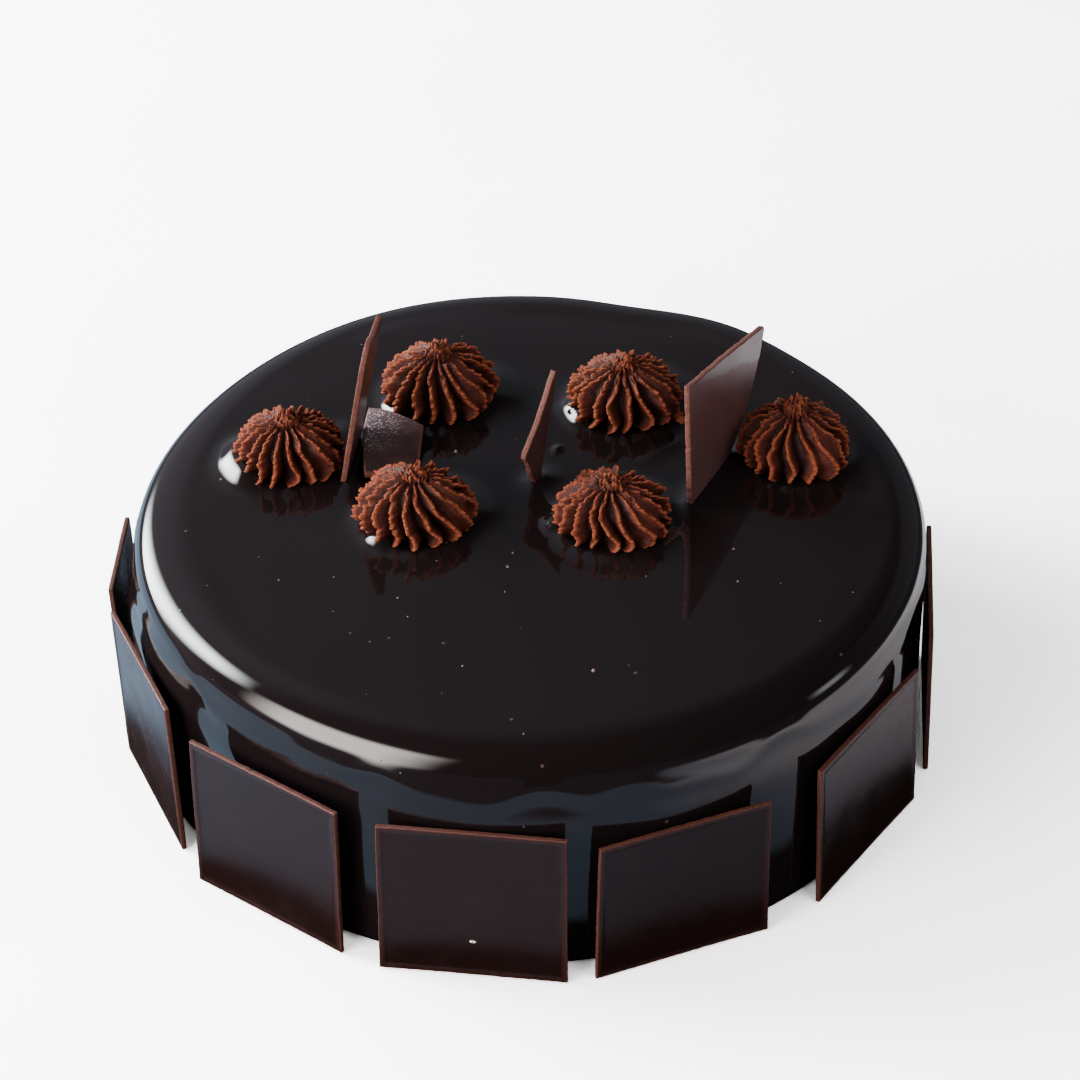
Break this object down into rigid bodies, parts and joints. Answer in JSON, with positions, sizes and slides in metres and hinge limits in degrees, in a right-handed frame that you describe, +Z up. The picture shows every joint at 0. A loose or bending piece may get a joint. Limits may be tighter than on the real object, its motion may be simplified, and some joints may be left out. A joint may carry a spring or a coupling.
{
  "type": "chocolate cake",
  "caption": "Round mirror-glazed chocolate cake with thin chocolate tiles leaning round its side, piped ganache rosettes and broken chocolate shards on top.",
  "frame": {"origin": "centre of the cake's flat base, on the surface it stands on", "axes": "+Z up the cake's axis, +Y away from the side seen in front, +X to the right of that side"},
  "size_m": [0.2326, 0.2339, 0.1142],
  "materials": {
    "glaze": "mirror gloss dark chocolate glaze",
    "tempered_chocolate": "satin dark chocolate with paler, rough cut edges",
    "piped_ganache": "matte piped chocolate ganache with crumbly ridges"
  },
  "bodies": {
    "root": {"glazed_cake": "glaze", "side_tile_01": "tempered_chocolate", "side_tile_02": "tempered_chocolate", "side_tile_03": "tempered_chocolate", "side_tile_04": "tempered_chocolate", "side_tile_05": "tempered_chocolate", "side_tile_06": "tempered_chocolate", "side_tile_07": "tempered_chocolate", "side_tile_08": "tempered_chocolate", "side_tile_09": "tempered_chocolate", "side_tile_10": "tempered_chocolate", "side_tile_11": "tempered_chocolate", "side_tile_12": "tempered_chocolate", "top_shard_left": "tempered_chocolate", "top_shard_middle": "tempered_chocolate", "top_shard_right": "tempered_chocolate", "top_bent_piece": "tempered_chocolate", "rosette_01": "piped_ganache", "rosette_02": "piped_ganache", "rosette_03": "piped_ganache", "rosette_04": "piped_ganache", "rosette_05": "piped_ganache", "rosette_06": "piped_ganache"}
  },
  "joints": []
}
